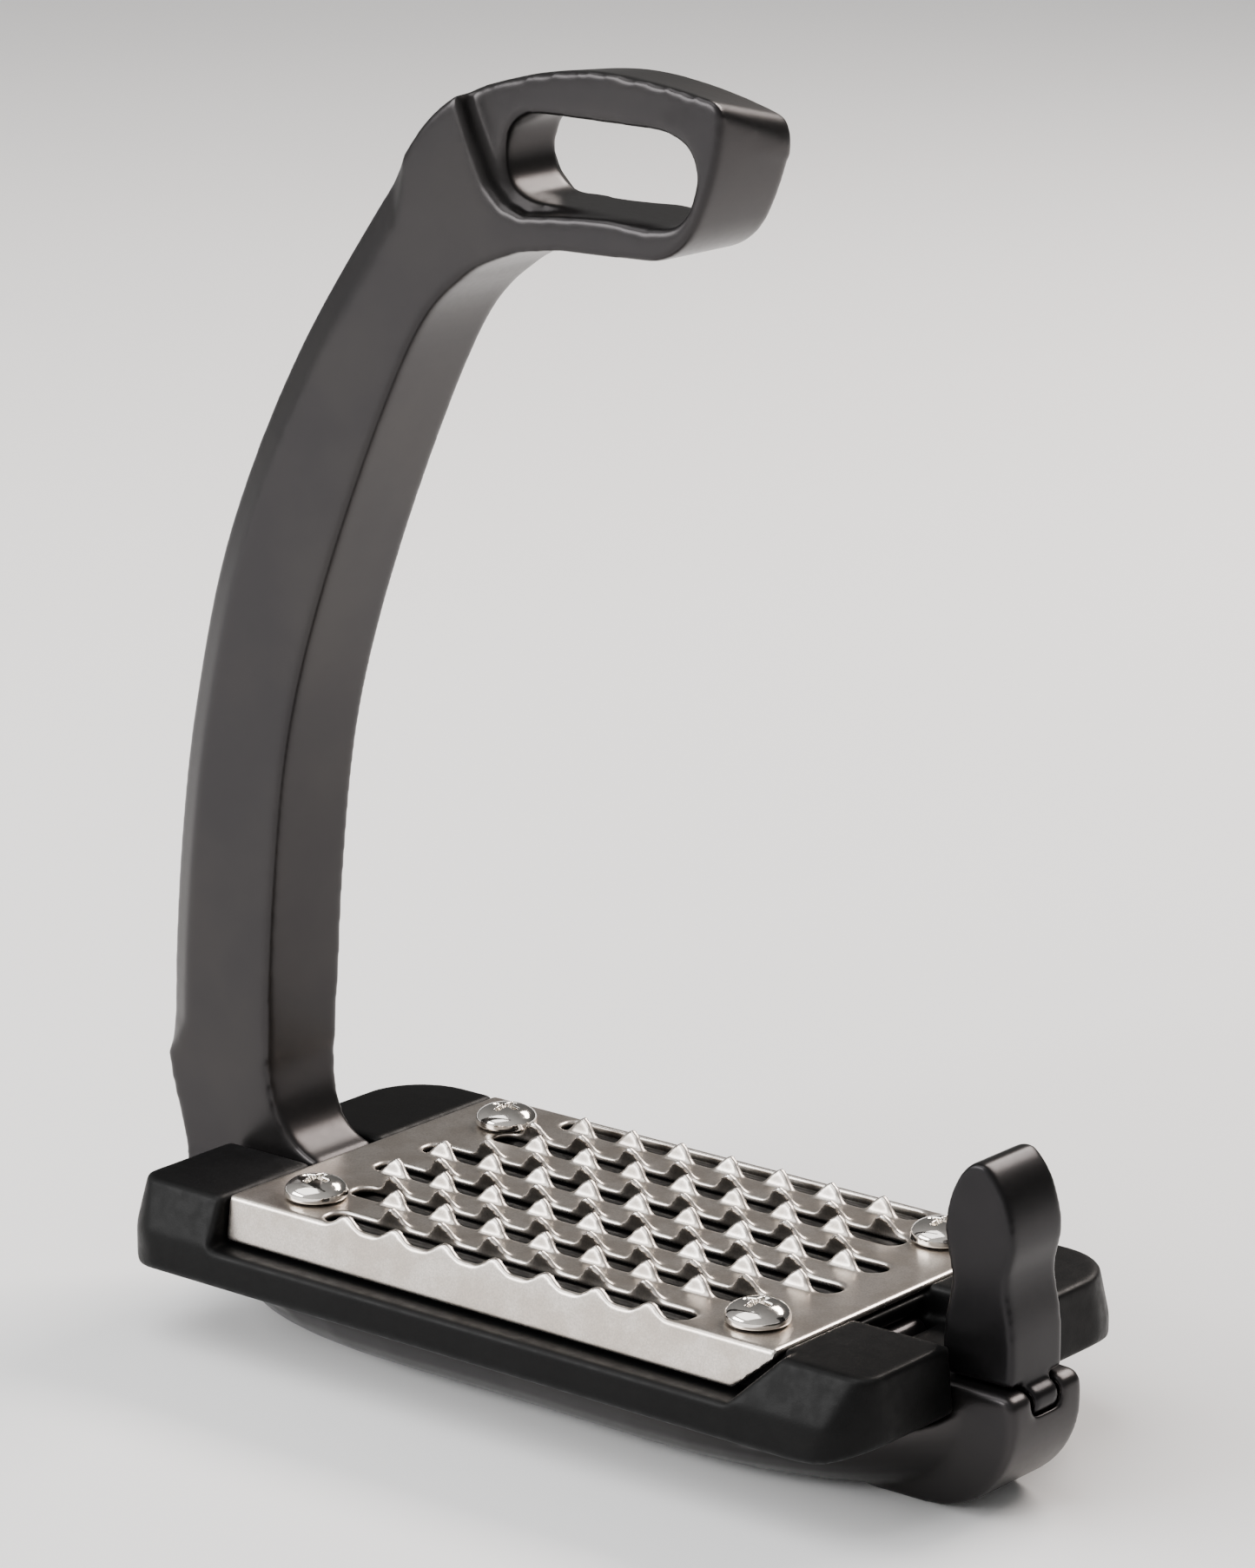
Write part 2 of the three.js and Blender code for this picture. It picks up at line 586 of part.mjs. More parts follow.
function makePlate() {
  const half = PLATE_LENGTH / 2;
  const sheet = solid(alongX(plateSection(), -half, half));
  const slant = shapeOf([[half + 0.1, TREAD_HIGH], [half + 0.1, TREAD_LOW], [half - 9, TREAD_LOW],
    [half - FLANGE_SLANT - 0.4, PLATE_TOP - FLANGE_DROP - 0.4], [half, PLATE_TOP - SHEET],
    [half, TREAD_HIGH]]);
  const slots = [];
  const teeth = [];
  const slotWidth = ROW_PITCH - STRIP_WIDTH;
  for (let row = 0; row < SLOT_ROWS; row += 1) {
    const length = rowLength(row);
    const y = (row - (SLOT_ROWS - 1) / 2) * ROW_PITCH;
    const front = y - slotWidth / 2;
    const back = y + slotWidth / 2;
    const slot = roundedRectangle(length / 2, slotWidth / 2, slotWidth / 2 - 0.2);
    slots.push(solid(alongZ(slot, PAD_LEDGE, TREAD_HIGH, 5).translate(0, y, 0)));
    const frontHeight = row === 0 ? FLANGE_TOOTH_HEIGHT : TOOTH_HEIGHT;
    for (const x of toothPlaces(length, false)) {
      teeth.push(tooth(x, front - SHEET / 2, frontHeight, SHEET, TOOTH_LEAN));
    }
    if (row < SLOT_ROWS - 1) {
      for (const x of toothPlaces(length, true)) {
        teeth.push(tooth(x, back + SHEET / 2, TOOTH_HEIGHT, SHEET, -TOOTH_LEAN));
      }
    }
  }
  const holes = screwPlaces().map(({ x, y }) => solid(
    rodAlongZ(SCREW_RADIUS + GAP, PAD_LEDGE, TREAD_HIGH, x, y),
  ));
  const cut = cutAll(sheet, [solid(alongY(slant, -FAR, FAR)), ...slots, ...holes]);
  return joinAll([cut, ...teeth]);
}

// A pan-head screw turned about Z with its head's seat at height zero, and a cross recess on top.
function screwGeometry() {
  const end = SCREW_END - PLATE_TOP - GAP;
  const profile = [[0, end], [SCREW_RADIUS - 0.5, end], [SCREW_RADIUS - GAP, end + 0.8],
    [SCREW_RADIUS - GAP, 0], [HEAD_RADIUS - 0.2, 0], [HEAD_RADIUS, 0.7], [HEAD_RADIUS - 0.5, 1.6],
    [HEAD_RADIUS - 1.6, 2.4], [HEAD_RADIUS - 3, HEAD_HEIGHT - 0.15], [0, HEAD_HEIGHT]];
  const turned = new THREE.LatheGeometry(profile.map(([r, z]) => new THREE.Vector2(r, z)), 24);
  const cross = joinAll([
    solid(box(-CROSS_REACH, CROSS_REACH, -CROSS_HALF, CROSS_HALF, CROSS_FLOOR, HEAD_HEIGHT + 1)),
    solid(box(-CROSS_HALF, CROSS_HALF, -CROSS_REACH, CROSS_REACH, CROSS_FLOOR, HEAD_HEIGHT + 1)),
  ]);
  return solid(turned.rotateX(Math.PI / 2)).subtract(cross);
}

// A threaded sleeve with its upper rim at height zero.
function insertGeometry() {
  const blank = solid(rodAlongZ(INSERT_RADIUS, -INSERT_LENGTH, 0, 0, 0));
  const grooves = [1.4, 3].map((depth) => {
    const ring = solid(rodAlongZ(INSERT_RADIUS + 1, -depth - 0.6, -depth, 0, 0));
    return ring.subtract(solid(rodAlongZ(INSERT_RADIUS - 0.4, -depth - 1, -depth + 1, 0, 0)));
  });
  return cutAll(blank, [solid(rodAlongZ(SCREW_RADIUS, -INSERT_LENGTH - 1, 1, 0, 0)), ...grooves]);
}

// ---- release peg -----------------------------------------------------------------------------

function pegOutline() {
  const left = PEG_OUTER - PEG_WIDTH;
  const base = SHOULDER_TOP + GAP;
  const shape = new THREE.Shape();
  shape.moveTo(left, base);
  shape.lineTo(PEG_OUTER, base);
  shape.splineThru(vectors([[PEG_OUTER - 0.1, 27], [PEG_OUTER - 1.3, 34.2], [PEG_OUTER - 0.2, 40.3],
    [PEG_OUTER - 1.5, 46.2], [PEG_OUTER - 4, 50.1], [left + 5.8, PEG_TOP], [left + 3.4, 50.2],
    [left + 1.1, 46.4], [left, 40.6], [left + 1.2, 33.6], [left + 0.1, 26.5], [left, base]]));
  return shape;
}

function makePeg() {
  const half = PEG_THICK / 2;
  const post = solid(alongY(pegOutline(), BAND_Y - half, BAND_Y + half, 6));
  const reach = Math.hypot(TAIL_X, TAIL_Z);
  const side = [-TAIL_Z / reach, TAIL_X / reach];
  const at = (x, z) => [HINGE_X + x, HINGE_Z + z];
  const tail = shapeOf([
    at(side[0] * TAIL_ROOT, side[1] * TAIL_ROOT),
    at(-side[0] * TAIL_ROOT, -side[1] * TAIL_ROOT),
    at(TAIL_X - side[0] * TAIL_RADIUS, TAIL_Z - side[1] * TAIL_RADIUS),
    at(TAIL_X + side[0] * TAIL_RADIUS, TAIL_Z + side[1] * TAIL_RADIUS),
  ]);
  const front = BAND_Y - KNUCKLE_HALF;
  const back = BAND_Y + KNUCKLE_HALF;
  const knuckle = joinAll([
    solid(rodAlongY(KNUCKLE_RADIUS, front, back, HINGE_X, HINGE_Z, 32)),
    solid(box(72.6, PEG_OUTER - 0.2, front, back, HINGE_Z, SHOULDER_TOP + 1)),
    solid(alongY(tail, front, back)),
    solid(rodAlongY(TAIL_RADIUS, front, back, HINGE_X + TAIL_X, HINGE_Z + TAIL_Z)),
  ]);
  const bore = solid(rodAlongY(PIN_RADIUS + PIN_GAP, -FAR, FAR, HINGE_X, HINGE_Z));
  return post.add(knuckle).subtract(bore);
}

function makePlunger() {
  const start = PLUNGER_FACE - PLUNGER_LENGTH;
  const body = solid(rodAlongX(BORE_RADIUS - GAP, start, PLUNGER_FACE, BAND_Y, BORE_Z));
  return body.subtract(solid(rodAlongX(CUP_RADIUS, start - 1, start + CUP_DEPTH, BAND_Y, BORE_Z)));
}

function makeSpring() {
  const start = SPRING_SEAT + GAP + WIRE_RADIUS;
  const end = PLUNGER_FACE - PLUNGER_LENGTH + CUP_DEPTH - GAP - WIRE_RADIUS;
  class Coil extends THREE.Curve {
    getPoint(t, target = new THREE.Vector3()) {
      const angle = 2 * Math.PI * SPRING_TURNS * t;
      return target.set(start + (end - start) * t, BAND_Y + SPRING_RADIUS * Math.cos(angle),
        BORE_Z + SPRING_RADIUS * Math.sin(angle));
    }
  }
  const section = new THREE.Shape();
  section.absarc(0, 0, WIRE_RADIUS, 0, 2 * Math.PI);
  return new THREE.ExtrudeGeometry(section, {
    steps: SPRING_TURNS * 12, extrudePath: new Coil(), bevelEnabled: false, curveSegments: 3,
  });
}

function makeSpringScrew() {
  const start = SPRING_SEAT - SCREW_PLUG_LENGTH;
  const body = solid(rodAlongX(BORE_RADIUS - GAP, start, SPRING_SEAT, BAND_Y, BORE_Z));
  return body.subtract(solid(rodAlongX(KEY_RADIUS, start - 1, start + KEY_DEPTH, BAND_Y, BORE_Z, 6)));
}

// ---- the assembly ----------------------------------------------------------------------------

const finishes = {
  frame: { color: 0x4a4645, roughness: 0.38, metalness: 1 },
  rubber: { color: 0x1c1c1d, roughness: 0.75, metalness: 0 },
  plate: { color: 0xb9b1a6, roughness: 0.36, metalness: 1 },
  steel: { color: 0xd8d8d8, roughness: 0.15, metalness: 1 },
};

function piece(name, geometry, finish) {
  const mesh = new THREE.Mesh(geometry, new THREE.MeshStandardMaterial(finishes[finish]));
  mesh.name = name;
  return mesh;
}

const stirrup = new THREE.Group();
stirrup.add(piece('frame', geometryOf(makeFrame()), 'frame'));
stirrup.add(piece('tread_pad', geometryOf(makePad()), 'rubber'));
stirrup.add(piece('tread_plate', geometryOf(makePlate()), 'plate'));
for (const { name, x, y } of screwPlaces()) {
  const screw = piece(`tread_screw_${name}`, geometryOf(screwGeometry()), 'steel');
  screw.position.set(x, y, PLATE_TOP + GAP);
  const insert = piece(`tread_insert_${name}`, geometryOf(insertGeometry()), 'steel');
  insert.position.set(x, y, INSERT_TOP);
  stirrup.add(screw, insert);
}
stirrup.add(piece('release_peg', geometryOf(makePeg()), 'frame'));
const pin = rodAlongY(PIN_RADIUS, PIN_FRONT, BAND_Y + END_HALF - 0.4, HINGE_X, HINGE_Z, 20);
stirrup.add(piece('hinge_pin', pin, 'steel'));
stirrup.add(piece('return_plunger', geometryOf(makePlunger()), 'steel'));
stirrup.add(piece('return_spring', makeSpring(), 'steel'));
stirrup.add(piece('spring_screw', geometryOf(makeSpringScrew()), 'steel'));

// The origin is under the middle of the whole part, so the tread's middle is moved off it.
const ARM_EXTREME = -82.05;
stirrup.position.x = -(ARM_EXTREME + BAR_END) / 2;

export default stirrup;
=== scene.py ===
"""Looks of the safety stirrup iron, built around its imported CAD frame.

Lengths are in metres. +Z is up, +X points to the open side with the peg, -Y is the front.
"""

import math

import bmesh
import bpy
import numpy as np
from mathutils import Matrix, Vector


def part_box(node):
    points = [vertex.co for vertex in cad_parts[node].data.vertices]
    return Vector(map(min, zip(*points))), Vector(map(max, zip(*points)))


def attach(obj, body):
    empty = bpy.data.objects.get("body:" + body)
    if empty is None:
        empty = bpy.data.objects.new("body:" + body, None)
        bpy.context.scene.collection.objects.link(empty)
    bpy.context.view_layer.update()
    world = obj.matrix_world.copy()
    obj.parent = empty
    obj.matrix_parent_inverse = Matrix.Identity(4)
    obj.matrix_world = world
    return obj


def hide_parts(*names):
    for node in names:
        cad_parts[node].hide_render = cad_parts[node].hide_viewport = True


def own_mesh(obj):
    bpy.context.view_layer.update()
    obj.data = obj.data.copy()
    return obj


MM = 0.001

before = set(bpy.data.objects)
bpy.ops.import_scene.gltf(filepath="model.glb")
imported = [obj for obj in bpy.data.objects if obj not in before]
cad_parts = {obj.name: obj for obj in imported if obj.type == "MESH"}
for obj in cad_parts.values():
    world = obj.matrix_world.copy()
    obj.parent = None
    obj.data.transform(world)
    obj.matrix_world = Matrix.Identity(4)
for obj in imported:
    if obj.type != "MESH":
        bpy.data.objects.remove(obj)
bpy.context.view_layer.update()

# Places read from the CAD.
PLATE_LOW, PLATE_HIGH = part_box("tread_plate")
PLATE_MIDDLE = (PLATE_LOW + PLATE_HIGH) / 2
PAD_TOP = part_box("tread_pad")[1].z

# The plate's rows of slots, with the slot lengths from the middle rows outwards.
SLOT_ROWS = 6
ROW_PITCH = 10.9 * MM
SLOT_LENGTHS = [88 * MM, 78 * MM, 69 * MM]

# Rubber ridges that show through the slots. Their axes lie this far below the pad's top.
RIDGE_DEPTH = 1.5 * MM
RIDGE_RADIUS = 0.6 * MM
RIDGE_STEP = 1.5 * MM
RIDGE_INSET = 2 * MM
MERGED_ROWS = (2, 3)
MERGED_STEP = 0.9 * MM

# Pan-head screws with a cross recess.
HEAD_RADIUS = 4.8 * MM
HEAD_HEIGHT = 3 * MM
HEAD_RIM = 0.8 * MM
HEAD_CHAMFER = 0.25 * MM
DOME_STEPS = 12
DOME_FULLNESS = 0.8
SHANK_RADIUS = 2.1 * MM
SHANK_POINT = 0.5 * MM
RECESS_DEPTH = 2.2 * MM
RECESS_OVERRUN = 0.4 * MM
WING_REACH = 3 * MM
WING_HALF_WIDTH = 0.6 * MM
TURN_STEPS = 64

# Return spring. The end coils lie closer together than the middle ones by END_CLOSING.
SPRING_WIRE = 0.35 * MM
SPRING_TURNS = 11
SPRING_STEPS = 28
END_CLOSING = 0.09

# The stored value that says how exposed a point is, the mask for paler edges that are partly scuffed and
# partly painted highlight, and the relaxing rounds that measure it.
WEAR_AND_HIGHLIGHT = "wear_and_highlight"
EXPOSURE_ROUNDS = 6


# ---- mesh helpers ------------------------------------------------------------------------------


def link(data, name):
    """A new object in the scene around a mesh, a curve, a light or a camera."""
    piece = bpy.data.objects.new(name, data)
    bpy.context.scene.collection.objects.link(piece)
    return piece


def from_bmesh(bm, name):
    """A new object from a bmesh, which is used up."""
    mesh = bpy.data.meshes.new(name)
    bm.to_mesh(mesh)
    bm.free()
    return link(mesh, name)


def closed_copy(node):
    """The CAD node's surface as one welded bmesh."""
    bm = bmesh.new()
    bm.from_mesh(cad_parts[node].data)
    bmesh.ops.remove_doubles(bm, verts=bm.verts, dist=1e-6)
    return bm


def evaluated_mesh(piece):
    """A new mesh of the piece with its modifiers or its curve bevel carried out."""
    graph = bpy.context.evaluated_depsgraph_get()
    graph.update()
    return bpy.data.meshes.new_from_object(piece.evaluated_get(graph))


def apply_modifiers(piece):
    mesh = evaluated_mesh(piece)
    piece.modifiers.clear()
    piece.data = mesh


def relax(points, edges, rounds):
    """Each round moves every point halfway towards the mean of its neighbours."""
    count = len(points)
    ends = np.concatenate([edges[:, 0], edges[:, 1]])
    others = np.concatenate([edges[:, 1], edges[:, 0]])
    degree = np.maximum(np.bincount(ends, minlength=count), 1)
    for _ in range(rounds):
        mean = np.stack(
            [np.bincount(ends, weights=points[others, axis], minlength=count) for axis in range(3)],
            axis=1,
        )
        points = points + 0.5 * (mean / degree[:, None] - points)
    return points


def read_all(items, field, width, kind=np.float64):
    """One field of every mesh element, as rows of an array."""
    values = np.empty(len(items) * width, kind)
    items.foreach_get(field, values)
    return values.reshape(-1, width)


def soften(piece, voxel, rounds):
    """Rebuilds the piece as an even mesh with rounded edges, and stores how exposed each point is."""
    remesh = piece.modifiers.new("even", "REMESH")
    remesh.mode = "VOXEL"
    remesh.voxel_size = voxel
    apply_modifiers(piece)
    mesh = piece.data
    edges = read_all(mesh.edges, "vertices", 2, np.int64)
    rounded = relax(read_all(mesh.vertices, "co", 3), edges, rounds)
    mesh.vertices.foreach_set("co", rounded.ravel())
    mesh.update()
    softer = relax(rounded, edges, EXPOSURE_ROUNDS)
    normals = read_all(mesh.vertices, "normal", 3)
    exposed = ((rounded - softer) * normals).sum(axis=1) / voxel
    attribute = mesh.attributes.new(WEAR_AND_HIGHLIGHT, "FLOAT", "POINT")
    attribute.data.foreach_set("value", exposed.astype(np.float32))
    mesh.shade_smooth()


def add_rod(bm, start, end, radius, sides=12):
    """A closed rod from start to end."""
    along = end - start
    turn = along.to_track_quat("Z", "Y").to_matrix().to_4x4()
    turn.translation = (start + end) / 2
    bmesh.ops.create_cone(
        bm, cap_ends=True, segments=sides, radius1=radius, radius2=radius,
        depth=along.length, matrix=turn,
    )


# ---- materials ---------------------------------------------------------------------------------


class Nodes:
    """Shorthand for wiring one material's nodes."""

    def __init__(self, name):
        self.material = bpy.data.materials.new(name)
        self.material.use_nodes = True
        self.tree = self.material.node_tree
        self.shader = self.tree.nodes["Principled BSDF"]

    def join(self, out, into):
        self.tree.links.new(out, into)

    def feed(self, value, socket):
        """Joins an output to the socket, or sets the socket to a plain value."""
        if isinstance(value, bpy.types.NodeSocket):
            self.join(value, socket)
        else:
            socket.default_value = value

    def add(self, kind, **inputs):
        """A new node, with its inputs fed by name; an underscore stands for a space."""
        node = self.tree.nodes.new(kind)
        for key, value in inputs.items():
            self.feed(value, node.inputs[key.replace("_", " ")])
        return node

    def shade(self, **inputs):
        """Feeds inputs of the shader by name; an underscore stands for a space."""
        for key, value in inputs.items():
            self.feed(value, self.shader.inputs[key.replace("_", " ")])

    def noise(self, size, detail=4.0, roughness=0.55):
        """Noise whose grains are about `size` metres across, in the piece's own coordinates."""
        place = self.tree.nodes.new("ShaderNodeTexCoord")
        noise = self.add(
            "ShaderNodeTexNoise",
            Vector=place.outputs["Object"], Scale=1 / size, Detail=detail, Roughness=roughness,
        )
        return noise.outputs["Fac"]

    def spread(self, value, low, high, to_low=0.0, to_high=1.0):
        """Maps value from low..high to to_low..to_high."""
        node = self.tree.nodes.new("ShaderNodeMapRange")
        node.interpolation_type = "SMOOTHSTEP"
        node.inputs["From Min"].default_value = low
        node.inputs["From Max"].default_value = high
        node.inputs["To Min"].default_value = to_low
        node.inputs["To Max"].default_value = to_high
        self.join(value, node.inputs["Value"])
        return node.outputs["Result"]

    def blend(self, fac, first, second):
        """A colour between first and second; each is a colour or an output."""
        node = self.tree.nodes.new("ShaderNodeMix")
        node.data_type = "RGBA"
        self.join(fac, node.inputs["Factor"])
        colours = [s for s in node.inputs if s.type == "RGBA"]
        for socket, colour in zip(colours, (first, second)):
            self.feed(colour if isinstance(colour, bpy.types.NodeSocket) else (*colour, 1), socket)
        return [s for s in node.outputs if s.type == "RGBA"][0]

    def multiply(self, first, second):
        node = self.tree.nodes.new("ShaderNodeMath")
        node.operation = "MULTIPLY"
        self.feed(first, node.inputs[0])
        self.feed(second, node.inputs[1])
        return node.outputs["Value"]

    def wear_and_highlight(self, low, high, most=1.0):
        """From 0 on flat ground to `most` on the edges that stick out: a mask for paler edges, partly real
        scuffing and polish where a hand or boot rubs, partly painted highlight.
        """
        node = self.tree.nodes.new("ShaderNodeAttribute")
        node.attribute_name = WEAR_AND_HIGHLIGHT
        return self.spread(node.outputs["Fac"], low, high, 0, most)

    def bump(self, height, distance, strength):
        node = self.add("ShaderNodeBump", Height=height, Strength=strength, Distance=distance)
        return node.outputs["Normal"]

    def bump_over(self, under, height, distance, strength):
        node = self.add("ShaderNodeBump", Height=height, Strength=strength, Distance=distance, Normal=under)
        return node.outputs["Normal"]


def alloy(name, colour, tint, worn_and_highlight):
    """Dark anodised aluminium with a fine satin grain, cloudy tone and paler edges, partly scuffed
    anodising and partly painted highlight.
    """
    n = Nodes(name)
    cloud = n.spread(n.noise(22 * MM, detail=3), 0.35, 0.68)
    patches = n.spread(n.noise(4 * MM, detail=5), 0.35, 0.6, 0.25, 0.8)
    # Paler edges, partly scuffed anodising and partly painted edge highlight.
    edge = n.multiply(n.wear_and_highlight(0.2, 0.6), patches)
    n.shade(
        Metallic=0.9,
        IOR=1.3,
        Base_Color=n.blend(edge, n.blend(cloud, colour, tint), worn_and_highlight),
        Roughness=n.spread(n.noise(1.1 * MM), 0.3, 0.7, 0.3, 0.33),
        Normal=n.bump(n.noise(0.35 * MM, detail=3), distance=0.005 * MM, strength=0.5),
    )
    return n.material


def rubber(name):
    """Moulded black rubber: matte skin with fine pitting and paler edges, partly scuffing and partly
    painted highlight.
    """
    deep = (0.0018, 0.0018, 0.0019)
    dusty = (0.0034, 0.0034, 0.0035)
    # Paler edge colour, partly scuffing and partly painted highlight.
    rubbed_and_highlight = (0.03, 0.0297, 0.0295)
    n = Nodes(name)
    dust = n.spread(n.noise(12 * MM, detail=5, roughness=0.65), 0.4, 0.75)
    pits = n.bump(n.noise(0.28 * MM), distance=0.03 * MM, strength=0.6)
    n.shade(
        IOR=1.2,
        Base_Color=n.blend(n.wear_and_highlight(0.1, 0.5, most=0.75), n.blend(dust, deep, dusty), rubbed_and_highlight),
        Roughness=n.spread(n.noise(2 * MM), 0.3, 0.7, 0.4, 0.5),
        Normal=n.bump_over(pits, n.noise(3 * MM, detail=3), distance=0.05 * MM, strength=0.4),
    )
    return n.material


def sheet_steel(name):
    """Nickel-toned steel sheet with a fine blasted grain, cloudy stains and paler rims, partly real polish
    and partly painted glint.
    """
    stained = (0.59, 0.53, 0.47)
    clean = (0.74, 0.685, 0.63)
    pit = (0.38, 0.34, 0.30)
    polished_and_glint = (0.84, 0.80, 0.76)
    n = Nodes(name)
    cloud = n.spread(n.noise(7 * MM, detail=5, roughness=0.62), 0.38, 0.64)
    speck = n.spread(n.noise(0.3 * MM, roughness=0.7), 0.38, 0.62)
    tone = n.blend(n.multiply(speck, 0.45), n.blend(cloud, stained, clean), pit)
    # Paler rims, partly real polish and partly painted glint; their lower roughness is real polish.
    edge = n.wear_and_highlight(0.1, 0.4)
    grain = n.spread(n.noise(0.5 * MM), 0.3, 0.7, 0.3, 0.33)
    n.shade(
        Metallic=1.0,
        Base_Color=n.blend(edge, tone, polished_and_glint),
        Roughness=n.multiply(grain, n.spread(edge, 0, 1, 1, 0.62)),
        Normal=n.bump(n.noise(0.35 * MM, detail=2), distance=0.003 * MM, strength=0.4),
    )
    return n.material


def plated_steel(name, colour, smoothest, roughest):
    """Bright plated steel with faint handling marks."""
    smeared = tuple(0.86 * c for c in colour)
    n = Nodes(name)
    smear = n.spread(n.noise(2.2 * MM, detail=5, roughness=0.6), 0.35, 0.7)
    n.shade(
        Metallic=1.0,
        Base_Color=n.blend(smear, colour, smeared),
        Roughness=n.spread(n.noise(0.9 * MM), 0.3, 0.7, smoothest, roughest),
        Normal=n.bump(n.noise(1.5 * MM, detail=2), distance=0.004 * MM, strength=0.3),
    )
    return n.material


def floor_paint():
    """Matte studio floor, very slightly cloudy."""
    n = Nodes("floor_paint")
    cloud = n.spread(n.noise(0.4, detail=2), 0.3, 0.7)
    n.shade(
        Base_Color=n.blend(cloud, (0.90, 0.90, 0.90), (0.92, 0.92, 0.92)),
        Roughness=0.9,
        Specular_IOR_Level=0.1,
    )
    return n.material


FRAME_ALLOY = alloy(
    "frame_alloy",
    colour=(0.035, 0.0328, 0.0337), tint=(0.040, 0.0374, 0.0372), worn_and_highlight=(0.09, 0.086, 0.083),
)
PEG_ALLOY = alloy(
    "peg_alloy",
    colour=(0.022, 0.0212, 0.0224), tint=(0.026, 0.025, 0.026), worn_and_highlight=(0.06, 0.057, 0.057),
)
TREAD_RUBBER = rubber("tread_rubber")
TREAD_STEEL = sheet_steel("tread_steel")
FASTENER_STEEL = plated_steel("fastener_steel", (0.80, 0.76, 0.71), smoothest=0.08, roughest=0.14)
SPRING_STEEL = plated_steel("spring_steel", (0.5, 0.5, 0.51), smoothest=0.25, roughest=0.35)


def finish_piece(piece, material, slot, body, *nodes):
    """Gives a new piece its material, lets it ride on its body and stand for its CAD nodes."""
    piece.data.materials.clear()
    piece.data.materials.append(material)
    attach(piece, body)
    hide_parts(*nodes)


# ---- pieces ------------------------------------------------------------------------------------


def build_frame():
    piece = from_bmesh(closed_copy("frame"), "frame_body")
    soften(piece, voxel=0.36 * MM, rounds=22)
    finish_piece(piece, FRAME_ALLOY, "frame_alloy", "stirrup", "frame")


def build_peg():
    piece = from_bmesh(closed_copy("release_peg"), "release_peg_body")
    soften(piece, voxel=0.35 * MM, rounds=16)
    finish_piece(piece, PEG_ALLOY, "peg_alloy", "peg", "release_peg")


def build_pad():
    """The rubber pad, with three moulded ridges under each slot; in the middle rows they merge into one."""
    bm = closed_copy("tread_pad")
    z = PAD_TOP - RIDGE_DEPTH
    for row in range(SLOT_ROWS):
        from_middle = row - (SLOT_ROWS - 1) / 2
        half = SLOT_LENGTHS[round(abs(from_middle) - 0.5)] / 2 - RIDGE_INSET
        step = MERGED_STEP if row in MERGED_ROWS else RIDGE_STEP
        for shift in (-step, 0, step):
            y = PLATE_MIDDLE.y + from_middle * ROW_PITCH + shift
            start = Vector((PLATE_MIDDLE.x - half, y, z))
            end = Vector((PLATE_MIDDLE.x + half, y, z))
            add_rod(bm, start, end, RIDGE_RADIUS)
    piece = from_bmesh(bm, "tread_pad_rubber")
    soften(piece, voxel=0.45 * MM, rounds=7)
    finish_piece(piece, TREAD_RUBBER, "tread_rubber", "stirrup", "tread_pad")


def build_plate():
    piece = from_bmesh(closed_copy("tread_plate"), "tread_plate_sheet")
    soften(piece, voxel=0.27 * MM, rounds=8)
    finish_piece(piece, TREAD_STEEL, "tread_steel", "stirrup", "tread_plate")


def cross_cutter(seat):
    """A cross recess's solid: two crossed wings that taper to about a third of their length."""
    bm = bmesh.new()
    top = seat.z + HEAD_HEIGHT + RECESS_OVERRUN
    mouth = (top, WING_REACH, WING_HALF_WIDTH)
    bottom = (top - RECESS_DEPTH, 0.35 * WING_REACH, 0.5 * WING_HALF_WIDTH)
    for turn in (0, math.pi / 2):
        corners = []
        for z, reach, half_width in (mouth, bottom):
            for side_x, side_y in ((-1, -1), (1, -1), (1, 1), (-1, 1)):
                x, y = side_x * reach, side_y * half_width
                corners.append(bm.verts.new((
                    seat.x + x * math.cos(turn) - y * math.sin(turn),
                    seat.y + x * math.sin(turn) + y * math.cos(turn),
                    z,
                )))
        bm.faces.new(corners[3::-1])
        bm.faces.new(corners[4:])
        for low in range(4):
            after = (low + 1) % 4
            bm.faces.new([corners[low], corners[after], corners[after + 4], corners[low + 4]])
    bmesh.ops.recalc_face_normals(bm, faces=bm.faces)
    return from_bmesh(bm, "cutter")


def screw_profile(tip):
    """Radius and height of the screw's outline, from its tip up over the head to the axis."""
    profile = [
        (0, tip),
        (SHANK_RADIUS - 0.8 * SHANK_POINT, tip),
        (SHANK_RADIUS, tip + SHANK_POINT),
        (SHANK_RADIUS, 0),
        (HEAD_RADIUS - HEAD_CHAMFER, 0),
        (HEAD_RADIUS, HEAD_CHAMFER),
        (HEAD_RADIUS, 0.75 * HEAD_RIM),
    ]
    for step in range(1, DOME_STEPS + 1):
        angle = (math.pi / 2) * step / DOME_STEPS
        radius = HEAD_RADIUS * math.cos(angle) ** DOME_FULLNESS
        profile.append((radius, HEAD_RIM + (HEAD_HEIGHT - HEAD_RIM) * math.sin(angle)))
    return profile


